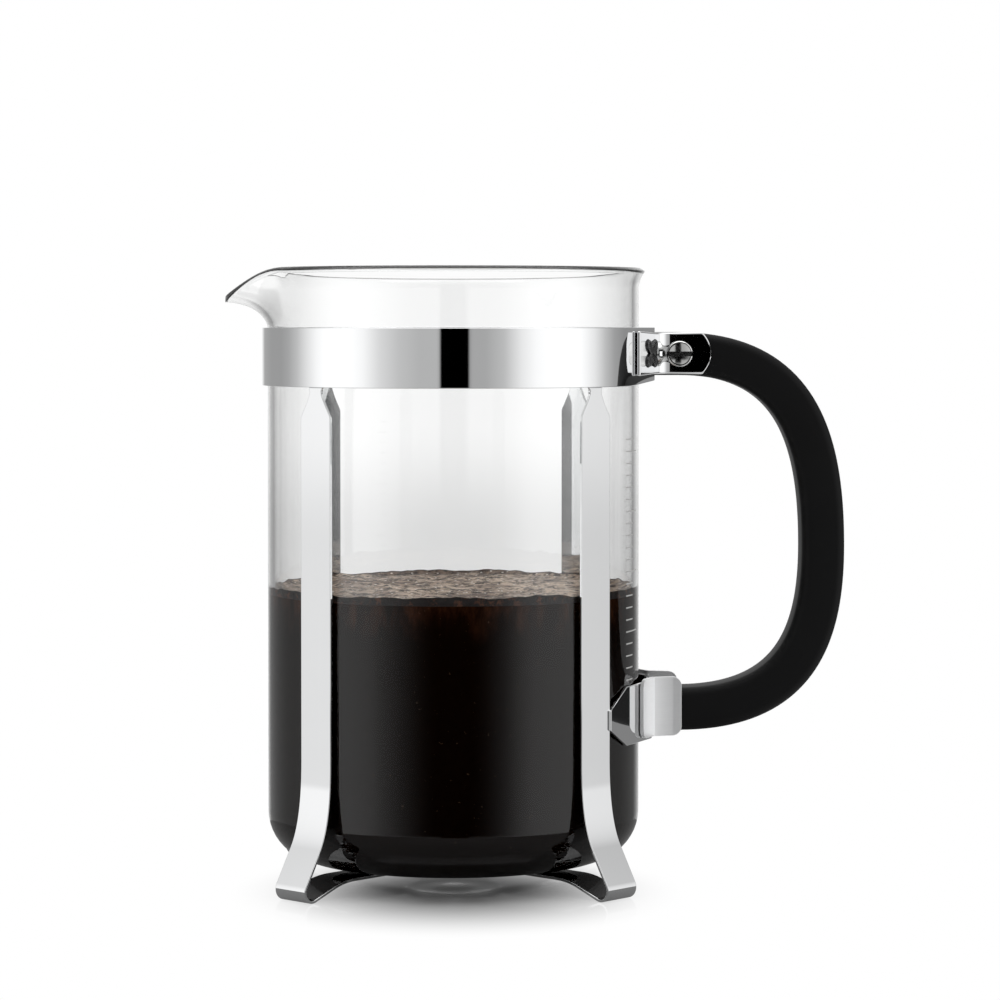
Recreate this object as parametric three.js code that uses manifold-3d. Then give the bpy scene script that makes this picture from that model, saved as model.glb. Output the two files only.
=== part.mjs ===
// A french press for twelve cups, standing open without its lid: a glass beaker with a
// pouring lip, held in a chromed steel frame of one clamping band and four strap legs,
// with a D-shaped plastic handle bolted between the band's lugs and tucked into a clip below.
// Millimetres, +Z up, lip towards -X, handle towards +X. Every piece is drawn about the
// beaker's axis, and the finished group is moved so that its origin is on the table, under
// the middle of the whole outline.

import * as THREE from "three";
import { mergeVertices } from "three/addons/utils/BufferGeometryUtils.js";
import Module from "manifold-3d";

// ---- driving dimensions -------------------------------------------------------------

const GAP = 0.3; // air left between pieces that touch

const GLASS_RADIUS = 58.0;
const GLASS_WALL = 2.0;
const GLASS_UNDERSIDE = 6.2;
const GLASS_TOP = 190.5;
const GLASS_CORNER = 15.0;
const RIM_TURNED_OUT = 2.0; // how far the mouth's edge stands out from the wall
const RIM_FLARE_HEIGHT = 5.4;

const LIP_START = 172.0; // height where the wall starts to lean out
const LIP_REACH = 14.3; // how far the tip stands out from the wall
const LIP_RISE = 9.6; // height of the tip above LIP_START
const LIP_HALF_ANGLE = THREE.MathUtils.degToRad(28);
const LIP_SAG = 1.6; // above 1, the rim stays high until close to the tip

const SHEET = 1.0; // steel of the band, legs and saddle
const BAND_INNER = 58.8;
const BAND_BOTTOM = 154.0;
const BAND_HEIGHT = 18.0;
const BAND_END_ANGLE = THREE.MathUtils.degToRad(27); // where the ring turns straight
const BAND_END_LENGTH = 20.3;

const LEG_WIDTH = 12.8;
const LEG_ANGLES = { front_left: 225, front_right: 315, back_right: 45, back_left: 135 };
const NECK_WIDTH = 5.3;
const NECK_LENGTH = 9.0;
const LEG_STRAIGHT_END = 28.5; // below this height the leg leans outwards
const LEG_LEAN = THREE.MathUtils.degToRad(29.5);
const FOOT_BEND_RADIUS = 3.0;
const FOOT_BEND_CENTRE = 67.0; // distance of the foot's bend from the axis
const FOOT_FLAT = THREE.MathUtils.degToRad(12); // half of the flat under the bend
const RETURN_SLOPE = THREE.MathUtils.degToRad(20.4);
const CROSS_HEIGHT = 5.2; // middle of the straps under the beaker
const CROSS_START = 51.0; // the straps lie level inside this radius
const CROSS_END = 9.0;
const PLATE_RADIUS = 15.0;

const LUG_SHEET = 1.2;
const LUG_BOTTOM = 157.2;
const LUG_HEIGHT = 13.6;
const LUG_FLANGE = 16.3;
const LUG_END = 80.1; // distance of the ears' round ends from the axis
const LUG_END_RADIUS = 9.0;
const BEND_EASE = 1.2; // the sheet turns over this length either side of a bend
const EAR_FACE = 8.0; // the ears' inner faces, either side of the handle

const BOLT_X = 70.1;
const BOLT_Z = 163.8;
const BOLT_RADIUS = 2.3;
const BOLT_HEAD_RADIUS = 4.0;
const BOLT_HEAD_HEIGHT = 2.4;
const SLOT_WIDTH = 1.5;
const SLOT_DEPTH = 1.3;
const BARREL_RADIUS = 3.4;
const NUT_RADIUS = 5.2;
const NUT_HEIGHT = 3.8;

const STAKE_RADIUS = 1.8;
const STAKE_POINT = 4.0; // how far the head's four points reach, across and up
const STAKE_WAIST = { across: 1.9, up: 2.7 }; // the head's sides are drawn in to these
const STAKE_HEAD_HEIGHT = 0.8;
const STAKE_FROM_BEND = 7.3;

const GRIP_WIDTH = 15.0; // along Y
const GRIP_DEPTH = 13.4; // across the handle's curve
const GRIP_CORNER = 2.6;
const GRIP_TOP = { x: 62.3, z: 163.8 };
const GRIP_SHOULDER = { x: 70.1, z: 163.8 };
const GRIP_OUTERMOST = { x: 115.6, z: 103.5 };
const GRIP_HEEL = { x: 70.7, z: 52.7 };
const GRIP_END = { x: 64.2, z: 52.7 };
const GRIP_PULLS = { shoulder: 37.5, above: 34, below: 29, heel: 36.5 }; // Bezier handle lengths

const SADDLE_BOTTOM = 43.8;
const SADDLE_HEIGHT = 18.2;
const SADDLE_START = { x: 47.1, y: -37.6 };
const SADDLE_CORNER = { x: 61.2, y: -8.3 };
const SADDLE_NECK_HEIGHT = 6.6;
const SADDLE_NECK_LENGTH = 13.0;
const CLIP_BOTTOM = 44.8;
const CLIP_HEIGHT = 18.4;
const CLIP_FLANGE = 9.4;
const CLIP_END = 71.0;
const CLIP_CORNER = 3.0;

const ROUND_SEGMENTS = 64;
const FAR = 400; // longer than any piece, for cutting tools

// ---- finishes -----------------------------------------------------------------------

const GLASS = new THREE.MeshStandardMaterial({
  color: 0xe8efee,
  roughness: 0.02,
  metalness: 0,
  transparent: true,
  opacity: 0.3,
});
const CHROME = new THREE.MeshStandardMaterial({ color: 0xd6d7d8, roughness: 0.08, metalness: 1 });
const BOLT_STEEL = new THREE.MeshStandardMaterial({ color: 0xc2c3c4, roughness: 0.2, metalness: 1 });
const PLASTIC = new THREE.MeshStandardMaterial({ color: 0x111112, roughness: 0.45, metalness: 0 });

// ---- solids -------------------------------------------------------------------------

const wasm = await Module();
wasm.setup();

/** A closed three.js geometry as a manifold-3d solid. */
function solidOf(geometry) {
  const bare = geometry.clone();
  bare.deleteAttribute("normal");
  bare.deleteAttribute("uv");
  const merged = mergeVertices(bare, 1e-4);
  return new wasm.Manifold(
    new wasm.Mesh({
      numProp: 3,
      vertProperties: merged.attributes.position.array,
      triVerts: new Uint32Array(merged.index.array),
    }),
  );
}

/** A manifold-3d solid as a three.js geometry. */
function geometryOf(solid) {
  const mesh = solid.getMesh();
  const geometry = new THREE.BufferGeometry();
  geometry.setAttribute("position", new THREE.BufferAttribute(mesh.vertProperties, 3));
  geometry.setIndex(new THREE.BufferAttribute(mesh.triVerts, 1));
  geometry.computeVertexNormals();
  return geometry;
}

/** The geometry with each of the tools cut away. */
function without(geometry, ...tools) {
  const solid = tools.reduce((rest, tool) => rest.subtract(solidOf(tool)), solidOf(geometry));
  return geometryOf(solid);
}

/** What all the geometries share. */
function common(geometry, ...others) {
  const solid = others.reduce((rest, other) => rest.intersect(solidOf(other)), solidOf(geometry));
  return geometryOf(solid);
}

/** The geometries joined into one. */
function joined(geometry, ...others) {
  const solid = others.reduce((rest, other) => rest.add(solidOf(other)), solidOf(geometry));
  return geometryOf(solid);
}

/** A cylinder along Y from y0 to y1. */
function cylinderAlongY(radius, y0, y1, x, z, segments = 24) {
  const geometry = new THREE.CylinderGeometry(radius, radius, y1 - y0, segments);
  return geometry.translate(x, (y0 + y1) / 2, z);
}

/** A lathe turned about Z: the profile's points are [radius, height]. */
function turnedAboutZ(profile, segments) {
  const points = profile.map(([radius, height]) => new THREE.Vector2(radius, height));
  return new THREE.LatheGeometry(points, segments).rotateX(Math.PI / 2);
}

/** A ribbon of even thickness about an open line of [x, y] points, as a flat shape. */
function ribbon(line, thickness) {
  const points = line.map(([x, y]) => new THREE.Vector2(x, y));
  const half = thickness / 2;
  const side = (from, to) => {
    const along = to.clone().sub(from).normalize();
    return new THREE.Vector2(-along.y, along.x);
  };
  const offsets = points.map((point, i) => {
    const before = i > 0 ? side(points[i - 1], point) : side(point, points[i + 1]);
    const after = i < points.length - 1 ? side(point, points[i + 1]) : before;
    const mitre = before.clone().add(after).normalize();
    return mitre.multiplyScalar(half / mitre.dot(before));
  });
  const left = points.map((point, i) => point.clone().add(offsets[i]));
  const right = points.map((point, i) => point.clone().sub(offsets[i]));
  return new THREE.Shape([...left, ...right.reverse()]);
}

/** A flat shape in XY pulled up along Z. */
function raised(shape, bottom, height) {
  const geometry = new THREE.ExtrudeGeometry(shape, { depth: height, bevelEnabled: false });
  return geometry.translate(0, 0, bottom);
}

/** A shape drawn in X and Z pulled through from y0 to y1. */
function throughY(shape, y0, y1) {
  const geometry = new THREE.ExtrudeGeometry(shape, { depth: y1 - y0, bevelEnabled: false });
  return geometry.rotateX(Math.PI / 2).translate(0, y1, 0);
}

/** A rectangle with round corners, from its low corner. */
function roundedRectangle(x, y, width, height, corner, divisions = 3) {
  const shape = new THREE.Shape();
  const centres = [
    [x + width - corner, y + corner, -Math.PI / 2],
    [x + width - corner, y + height - corner, 0],
    [x + corner, y + height - corner, Math.PI / 2],
    [x + corner, y + corner, Math.PI],
  ];
  const points = centres.flatMap(([cx, cy, start]) =>
    Array.from({ length: divisions + 1 }, (_, i) => {
      const angle = start + (i / divisions) * (Math.PI / 2);
      return new THREE.Vector2(cx + corner * Math.cos(angle), cy + corner * Math.sin(angle));
    }),
  );
  return shape.setFromPoints(points);
}

/** Points on an arc about a centre, from one angle to another, both ends included. */
function arcPoints(centre, radius, from, to, divisions) {
  return Array.from({ length: divisions + 1 }, (_, i) => {
    const angle = from + ((to - from) * i) / divisions;
    return [centre[0] + radius * Math.cos(angle), centre[1] + radius * Math.sin(angle)];
  });
}

/** The same shape on the other side of the XZ plane. */
function mirroredInY(geometry) {
  const copy = geometry.index ? geometry.toNonIndexed() : geometry.clone();
  const position = copy.attributes.position;
  for (let i = 0; i < position.count; i += 3) {
    const first = new THREE.Vector3().fromBufferAttribute(position, i);
    const last = new THREE.Vector3().fromBufferAttribute(position, i + 2);
    position.setXYZ(i, last.x, last.y, last.z);
    position.setXYZ(i + 2, first.x, first.y, first.z);
  }
  for (let i = 0; i < position.count; i += 1) position.setY(i, -position.getY(i));
  copy.computeVertexNormals();
  return copy;
}

// ---- the beaker ---------------------------------------------------------------------

/** Half of the beaker's section, from the underside over the rim to the inside of its floor. */
function beakerProfile() {
  const innerRadius = GLASS_RADIUS - GLASS_WALL;
  const innerCorner = GLASS_CORNER - GLASS_WALL;
  const corner = [GLASS_RADIUS - GLASS_CORNER, GLASS_UNDERSIDE + GLASS_CORNER];
  const outside = arcPoints(corner, GLASS_CORNER, -Math.PI / 2, 0, 4);
  const inside = arcPoints(corner, innerCorner, 0, -Math.PI / 2, 4);
  const rimLength = GLASS_TOP - LIP_START;
  const wallHeights = [0, 0.2, 0.4, 0.6, 0.75, 0.88, 1].map((share) => LIP_START + share * rimLength);
  return [
    [0, GLASS_UNDERSIDE],
    ...outside,
    ...wallHeights.map((height) => [GLASS_RADIUS, height]),
    ...wallHeights.map((height) => [innerRadius, height]).reverse(),
    ...inside,
    [0, GLASS_UNDERSIDE + GLASS_WALL],
  ];
}

/** How far the mouth's edge is turned out at a height, away from the lip. */
function turnedOut(height) {
  const share = Math.max(0, 1 - (GLASS_TOP - height) / RIM_FLARE_HEIGHT);
  return RIM_TURNED_OUT * share ** 2;
}

/** Where a point of the plain wall goes when the mouth and its pouring lip are drawn out. */
function onLip(radius, height, fromLip) {
  if (height <= LIP_START) return [radius, height];
  if (Math.abs(fromLip) >= LIP_HALF_ANGLE) return [radius + turnedOut(height), height];
  const weight = Math.cos(((fromLip / LIP_HALF_ANGLE) * Math.PI) / 2) ** 2;
  const wallLength = GLASS_TOP - LIP_START;
  const turn = (((height - LIP_START) / wallLength) * Math.PI) / 2;
  const turnPerHeight = Math.PI / 2 / wallLength;
  const middle = GLASS_RADIUS - GLASS_WALL / 2;
  const lean = LIP_REACH * (1 - Math.cos(turn)) * weight + turnedOut(height) * (1 - weight);
  const drop = (LIP_START + LIP_RISE * Math.sin(turn) - height) * weight ** LIP_SAG;
  const alongRadius = LIP_REACH * Math.sin(turn) * turnPerHeight * weight;
  const alongHeight = 1 + (LIP_RISE * Math.cos(turn) * turnPerHeight - 1) * weight;
  const length = Math.hypot(alongRadius, alongHeight);
  const outwards = radius - middle;
  return [
    middle + lean + (outwards * alongHeight) / length,
    height + drop - (outwards * alongRadius) / length,
  ];
}

function beaker() {
  const geometry = turnedAboutZ(beakerProfile(), ROUND_SEGMENTS);
  const position = geometry.attributes.position;
  for (let i = 0; i < position.count; i += 1) {
    const x = position.getX(i);
    const y = position.getY(i);
    const fromLip = Math.atan2(y, -x);
    const [radius, height] = onLip(Math.hypot(x, y), position.getZ(i), fromLip);
    position.setXYZ(i, -radius * Math.cos(fromLip), radius * Math.sin(fromLip), height);
  }
  return geometry;
}

// ---- the frame ----------------------------------------------------------------------

const BAND_MIDDLE = BAND_INNER + SHEET / 2;

/** A point on the straight end of the band, so far from the bend and so far outside it. */
function onBandEnd(fromBend, outside) {
  const cos = Math.cos(BAND_END_ANGLE);
  const sin = Math.sin(BAND_END_ANGLE);
  return [
    (BAND_MIDDLE + outside) * cos + fromBend * sin,
    -(BAND_MIDDLE + outside) * sin + fromBend * cos,
  ];
}

/** How far along the straight end a line that lies outside it meets the ear's plane. */
function bendOfLug(outside, earMiddle) {
  const [, start] = onBandEnd(0, outside);
  return (-earMiddle - start) / Math.cos(BAND_END_ANGLE);
}

const LUG_OUTSIDE = SHEET / 2 + GAP + LUG_SHEET / 2;
const EAR_MIDDLE = EAR_FACE + LUG_SHEET / 2;
const LUG_BEND = bendOfLug(LUG_OUTSIDE, EAR_MIDDLE);
const STAKE_AT = LUG_BEND - STAKE_FROM_BEND;

/** Puts a piece drawn along X, about the middle of the sheet, at the front stake's place. */
function atStake(geometry) {
  const [x, y] = onBandEnd(STAKE_AT, 0);
  return geometry.rotateZ(-BAND_END_ANGLE).translate(x, y, LUG_BOTTOM + LUG_HEIGHT / 2);
}

/** A round bar through the front straight end, square to it. */
function stakeBar(radius, inner, outer) {
  const bar = new THREE.CylinderGeometry(radius, radius, outer - inner, 20);
  return atStake(bar.translate(0, (inner + outer) / 2, 0).rotateZ(-Math.PI / 2));
}

function band() {
  const arc = arcPoints([0, 0], BAND_MIDDLE, -BAND_END_ANGLE, BAND_END_ANGLE - 2 * Math.PI, ROUND_SEGMENTS);
  const [x, y] = onBandEnd(BAND_END_LENGTH, 0);
  const ring = raised(ribbon([[x, y], ...arc, [x, -y]], SHEET), BAND_BOTTOM, BAND_HEIGHT);
  const hole = stakeBar(STAKE_RADIUS + GAP, -3, 3);
  return without(ring, hole, mirroredInY(hole));
}

/** The middle line of a leg in radius and height, from its neck down round the foot and in. */
function legLine() {
  const radius = BAND_MIDDLE;
  const bendRadius = FOOT_BEND_RADIUS;
  const bendHeight = bendRadius * Math.cos(FOOT_FLAT) + SHEET / 2;
  const bend = [FOOT_BEND_CENTRE, bendHeight];
  const bendStart = [
    bend[0] + bendRadius * Math.cos(LEG_LEAN),
    bend[1] + bendRadius * Math.sin(LEG_LEAN),
  ];
  const kneeHeight = bendStart[1] + (bendStart[0] - radius) / Math.tan(LEG_LEAN);
  const kneeLength = LEG_STRAIGHT_END - kneeHeight;
  const knee = new THREE.QuadraticBezierCurve(
    new THREE.Vector2(radius, LEG_STRAIGHT_END),
    new THREE.Vector2(radius, kneeHeight),
    new THREE.Vector2(
      radius + kneeLength * Math.sin(LEG_LEAN),
      kneeHeight - kneeLength * Math.cos(LEG_LEAN),
    ),
  );
  const flatStart = -Math.PI / 2 + FOOT_FLAT;
  const flatEnd = -Math.PI / 2 - FOOT_FLAT;
  const returnAngle = -Math.PI / 2 - RETURN_SLOPE;
  const down = arcPoints(bend, bendRadius, LEG_LEAN, flatStart, 5);
  const up = arcPoints(bend, bendRadius, flatEnd, returnAngle, 1);
  const [lastRadius, lastHeight] = up[up.length - 1];
  const rise = CROSS_HEIGHT - lastHeight;
  const crossBend = new THREE.QuadraticBezierCurve(
    new THREE.Vector2(CROSS_START + 4, CROSS_HEIGHT - 4 * Math.tan(RETURN_SLOPE) * 0.25),
    new THREE.Vector2(lastRadius - rise / Math.tan(RETURN_SLOPE), CROSS_HEIGHT),
    new THREE.Vector2(CROSS_START - 3, CROSS_HEIGHT),
  );
  const plain = (curve, divisions) => curve.getPoints(divisions).map((p) => [p.x, p.y]);
  return [
    [radius, BAND_BOTTOM - GAP],
    ...plain(knee, 5),
    ...down,
    ...up,
    ...plain(crossBend, 2),
    [CROSS_END, CROSS_HEIGHT],
  ];
}

/** The leg's outline as seen from outside: full width, drawn in to a neck under the band. */
function legOutline() {
  const top = BAND_BOTTOM - GAP;
  const half = LEG_WIDTH / 2;
  const neck = NECK_WIDTH / 2;
  const points = [
    [-half, -FAR],
    [half, -FAR],
    [half, top - NECK_LENGTH],
    [neck + 0.25 * (half - neck), top - 0.3 * NECK_LENGTH],
    [neck, top + 1],
    [-neck, top + 1],
    [-neck - 0.25 * (half - neck), top - 0.3 * NECK_LENGTH],
    [-half, top - NECK_LENGTH],
  ];
  return new THREE.Shape(points.map(([x, y]) => new THREE.Vector2(x, y)));
}

function leg() {
  const side = ribbon(legLine(), SHEET);
  const strap = throughY(side, -LEG_WIDTH / 2, LEG_WIDTH / 2);
  const outline = throughY(legOutline(), 0, FAR).rotateZ(-Math.PI / 2);
  return common(strap, outline);
}

function basePlate() {
  const top = CROSS_HEIGHT - SHEET / 2 - GAP;
  const plate = new THREE.CylinderGeometry(PLATE_RADIUS, PLATE_RADIUS, SHEET, 32).rotateX(Math.PI / 2);
  return plate.translate(0, 0, top - SHEET / 2);
}

// ---- the handle's upper fixing ------------------------------------------------------

/** The lug's outline as seen from in front: its free end is an arc. */
function lugOutline(left) {
  const middle = LUG_BOTTOM + LUG_HEIGHT / 2;
  const spread = Math.asin(LUG_HEIGHT / 2 / LUG_END_RADIUS);
  const end = arcPoints([LUG_END - LUG_END_RADIUS, middle], LUG_END_RADIUS, -spread, spread, 8);
  const points = [[left, LUG_BOTTOM], ...end, [left, LUG_BOTTOM + LUG_HEIGHT]];
  return new THREE.Shape(points.map(([x, z]) => new THREE.Vector2(x, z)));
}

/** The front lug: a flange staked to the band's straight end, and an ear beside the handle. */
function frontLug() {
  const flangeStart = onBandEnd(LUG_BEND - LUG_FLANGE, LUG_OUTSIDE);
  const [bendX] = onBandEnd(LUG_BEND, LUG_OUTSIDE);
  const eased = [onBandEnd(LUG_BEND - BEND_EASE, LUG_OUTSIDE), [bendX + BEND_EASE, -EAR_MIDDLE]];
  const line = [flangeStart, ...eased, [LUG_END + 1, -EAR_MIDDLE]];
  const blank = raised(ribbon(line, LUG_SHEET), LUG_BOTTOM - 1, LUG_HEIGHT + 2);
  const outline = throughY(lugOutline(flangeStart[0] - 2), -FAR, 0);
  const boltHole = cylinderAlongY(BOLT_RADIUS + 2 * GAP, -12, 0, BOLT_X, BOLT_Z);
  const stakeHole = stakeBar(STAKE_RADIUS + GAP, -3, 4);
  return without(common(blank, outline), boltHole, stakeHole);
}

/** The back lug: the front one mirrored, with its hole opened out for the nut's barrel. */
function backLug() {
  const barrelHole = cylinderAlongY(BARREL_RADIUS + GAP, 0, 12, BOLT_X, BOLT_Z);
  return without(mirroredInY(frontLug()), barrelHole);
}

/** The stake's head as seen from outside: four points with drawn-in sides between them. */
function stakeHead() {
  const { across, up } = STAKE_WAIST;
  const shape = new THREE.Shape();
  shape.moveTo(STAKE_POINT, STAKE_POINT);
  shape.quadraticCurveTo(0, 2 * up - STAKE_POINT, -STAKE_POINT, STAKE_POINT);
  shape.quadraticCurveTo(STAKE_POINT - 2 * across, 0, -STAKE_POINT, -STAKE_POINT);
  shape.quadraticCurveTo(0, STAKE_POINT - 2 * up, STAKE_POINT, -STAKE_POINT);
  shape.quadraticCurveTo(2 * across - STAKE_POINT, 0, STAKE_POINT, STAKE_POINT);
  return new THREE.ExtrudeGeometry(shape, {
    depth: STAKE_HEAD_HEIGHT,
    bevelEnabled: false,
    curveSegments: 6,
  });
}

/** The stake that holds the front lug to the band, spread outside and in. */
function frontStake() {
  const faceOutside = SHEET / 2 + GAP + LUG_SHEET + GAP / 2;
  const faceInside = -SHEET / 2 - GAP / 2;
  const shank = stakeBar(STAKE_RADIUS, faceInside - 0.2, faceOutside + 0.2);
  const tail = stakeBar(STAKE_RADIUS + 0.8, faceInside - 0.6, faceInside);
  const head = stakeHead().rotateX(Math.PI / 2).rotateZ(Math.PI / 2);
  return joined(shank, atStake(head.translate(faceOutside, 0, 0)), tail);
}

/** The slotted bolt, its head in front. */
function bolt() {
  const face = -(EAR_FACE + LUG_SHEET + GAP);
  const end = EAR_FACE - 1;
  const edge = 0.35 * BOLT_HEAD_HEIGHT;
  const domeRadius = (BOLT_HEAD_RADIUS ** 2 + (BOLT_HEAD_HEIGHT - edge) ** 2) / (2 * (BOLT_HEAD_HEIGHT - edge));
  const spread = Math.asin(BOLT_HEAD_RADIUS / domeRadius);
  const dome = Array.from({ length: 6 }, (_, i) => {
    const angle = spread * (1 - i / 5);
    return [domeRadius * Math.sin(angle), BOLT_HEAD_HEIGHT - domeRadius * (1 - Math.cos(angle))];
  });
  const profile = [[0, face - end], [BOLT_RADIUS, face - end], [BOLT_RADIUS, 0], [BOLT_HEAD_RADIUS, 0], ...dome];
  profile[profile.length - 1] = [0, BOLT_HEAD_HEIGHT];
  const points = profile.map(([radius, height]) => new THREE.Vector2(radius, height));
  const turned = new THREE.LatheGeometry(points, 28);
  turned.rotateX(Math.PI).translate(BOLT_X, face, BOLT_Z);
  const slot = new THREE.BoxGeometry(FAR, SLOT_DEPTH + 1, SLOT_WIDTH);
  slot.translate(BOLT_X, face - BOLT_HEAD_HEIGHT + (SLOT_DEPTH - 1) / 2, BOLT_Z);
  return without(turned, slot);
}

/** The barrel nut: an eight-sided head behind, and a threaded barrel through the handle. */
function nut() {
  const face = EAR_FACE + LUG_SHEET + GAP;
  const barrelEnd = -EAR_FACE + 1;
  const head = new THREE.CylinderGeometry(NUT_RADIUS - 0.8, NUT_RADIUS, NUT_HEIGHT, 8, 1);
  head.rotateY(Math.PI / 8).translate(BOLT_X, face + NUT_HEIGHT / 2, BOLT_Z);
  const barrel = cylinderAlongY(BARREL_RADIUS, barrelEnd, face + 1, BOLT_X, BOLT_Z);
  const bore = cylinderAlongY(BOLT_RADIUS + GAP, barrelEnd - 1, face + 1.5, BOLT_X, BOLT_Z);
  return without(joined(head, barrel), bore);
}

// ---- the handle ---------------------------------------------------------------------

function gripPath() {
  const at = ({ x, z }) => new THREE.Vector3(x, 0, z);
  const shifted = ({ x, z }, dx, dz) => new THREE.Vector3(x + dx, 0, z + dz);
  const path = new THREE.CurvePath();
  path.add(new THREE.LineCurve3(at(GRIP_TOP), at(GRIP_SHOULDER)));
  path.add(
    new THREE.CubicBezierCurve3(
      at(GRIP_SHOULDER),
      shifted(GRIP_SHOULDER, GRIP_PULLS.shoulder, 0),
      shifted(GRIP_OUTERMOST, 0, GRIP_PULLS.above),
      at(GRIP_OUTERMOST),
    ),
  );
  path.add(
    new THREE.CubicBezierCurve3(
      at(GRIP_OUTERMOST),
      shifted(GRIP_OUTERMOST, 0, -GRIP_PULLS.below),
      shifted(GRIP_HEEL, GRIP_PULLS.heel, 0),
      at(GRIP_HEEL),
    ),
  );
  path.add(new THREE.LineCurve3(at(GRIP_HEEL), at(GRIP_END)));
  return path;
}

function grip() {
  const section = roundedRectangle(-GRIP_DEPTH / 2, -GRIP_WIDTH / 2, GRIP_DEPTH, GRIP_WIDTH, GRIP_CORNER);
  const bar = new THREE.ExtrudeGeometry(section, { steps: 40, extrudePath: gripPath() });
  return without(bar, cylinderAlongY(BARREL_RADIUS + GAP, -20, 20, BOLT_X, BOLT_Z));
}

// ---- the handle's lower fixing ------------------------------------------------------

/** The saddle: a strap that runs from one right-hand leg to the other past the handle's heel. */
function saddle() {
  const { x: startX, y: startY } = SADDLE_START;
  const { x: cornerX, y: cornerY } = SADDLE_CORNER;
  const line = [
    [startX, startY],
    [cornerX, cornerY],
    [cornerX, -cornerY],
    [startX, -startY],
  ];
  const strap = raised(ribbon(line, SHEET), SADDLE_BOTTOM, SADDLE_HEIGHT);
  const middle = SADDLE_BOTTOM + SADDLE_HEIGHT / 2;
  const reach = -startY + 1;
  const full = reach - SADDLE_NECK_LENGTH;
  const outline = [
    [-reach, middle - SADDLE_NECK_HEIGHT / 2],
    [-full, SADDLE_BOTTOM],
    [full, SADDLE_BOTTOM],
    [reach, middle - SADDLE_NECK_HEIGHT / 2],
    [reach, middle + SADDLE_NECK_HEIGHT / 2],
    [full, SADDLE_BOTTOM + SADDLE_HEIGHT],
    [-full, SADDLE_BOTTOM + SADDLE_HEIGHT],
    [-reach, middle + SADDLE_NECK_HEIGHT / 2],
  ];
  const seenFromHandle = new THREE.Shape(outline.map(([y, z]) => new THREE.Vector2(y, z)));
  const mask = throughY(seenFromHandle, 0, FAR).rotateZ(Math.PI / 2).translate(FAR / 2, 0, 0);
  return common(strap, mask);
}

/** The front clip: a flange welded to the saddle, and an ear beside the handle's heel. */
function frontClip() {
  const start = new THREE.Vector2(SADDLE_START.x, SADDLE_START.y);
  const corner = new THREE.Vector2(SADDLE_CORNER.x, SADDLE_CORNER.y);
  const along = corner.clone().sub(start).normalize();
  const outside = new THREE.Vector2(along.y, -along.x).multiplyScalar(SHEET / 2 + GAP + LUG_SHEET / 2);
  const face = corner.clone().add(outside);
  const bend = face.clone().addScaledVector(along, (-EAR_MIDDLE - face.y) / along.y);
  const place = (beforeBend) => bend.clone().addScaledVector(along, -beforeBend).toArray();
  const eased = [place(BEND_EASE), [bend.x + BEND_EASE, -EAR_MIDDLE]];
  const line = [place(CLIP_FLANGE), ...eased, [CLIP_END, -EAR_MIDDLE]];
  const blank = raised(ribbon(line, LUG_SHEET), CLIP_BOTTOM, CLIP_HEIGHT);
  const left = place(CLIP_FLANGE)[0] - 1;
  const outline = roundedRectangle(left, CLIP_BOTTOM, CLIP_END - left, CLIP_HEIGHT, CLIP_CORNER);
  return common(blank, throughY(outline, -FAR, 0));
}

// ---- the assembly -------------------------------------------------------------------

const press = new THREE.Group();

/** Adds one piece to the press. */
function add(name, geometry, material, turnedBy = 0) {
  const mesh = new THREE.Mesh(geometry, material);
  mesh.name = name;
  mesh.rotation.z = THREE.MathUtils.degToRad(turnedBy);
  press.add(mesh);
}

add("glass_beaker", beaker(), GLASS);
add("frame_band", band(), CHROME);
for (const [place, angle] of Object.entries(LEG_ANGLES)) add(`leg_${place}`, leg(), CHROME, angle);
add("base_plate", basePlate(), CHROME);
add("upper_lug_front", frontLug(), CHROME);
add("upper_lug_back", backLug(), CHROME);
add("lug_stake_front", frontStake(), CHROME);
add("lug_stake_back", mirroredInY(frontStake()), CHROME);
add("handle_bolt", bolt(), BOLT_STEEL);
add("handle_nut", nut(), BOLT_STEEL);
add("handle_grip", grip(), PLASTIC);
add("handle_saddle", saddle(), CHROME);
add("lower_clip_front", frontClip(), CHROME);
add("lower_clip_back", mirroredInY(frontClip()), CHROME);

const outline = new THREE.Box3().setFromObject(press, true);
press.position.set(-(outline.min.x + outline.max.x) / 2, -(outline.min.y + outline.max.y) / 2, -outline.min.z);

export default press;
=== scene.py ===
"""Models the finished surfaces of an open french press around its fixed frame, and lights it."""

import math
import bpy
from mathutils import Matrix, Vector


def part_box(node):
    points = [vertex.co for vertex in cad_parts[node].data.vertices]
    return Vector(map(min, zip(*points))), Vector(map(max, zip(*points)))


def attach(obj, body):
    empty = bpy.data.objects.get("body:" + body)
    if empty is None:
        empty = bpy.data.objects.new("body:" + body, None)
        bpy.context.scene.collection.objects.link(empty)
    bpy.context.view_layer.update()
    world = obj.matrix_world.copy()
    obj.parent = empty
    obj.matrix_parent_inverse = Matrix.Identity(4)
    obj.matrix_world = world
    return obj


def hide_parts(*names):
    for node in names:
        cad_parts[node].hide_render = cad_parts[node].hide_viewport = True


bl_info = {
    "name": "French press",
    "version": (1, 0, 0),
    "blender": (4, 5, 0),
    "location": "View3D > Sidebar > French press",
    "description": "Glass beaker, coffee, chromed strap frame and black handle of a french press",
    "category": "Add Mesh",
}

import bmesh
import bpy
from bpy.props import FloatProperty, FloatVectorProperty, IntProperty, PointerProperty
from mathutils import Matrix, Vector, noise

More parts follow.
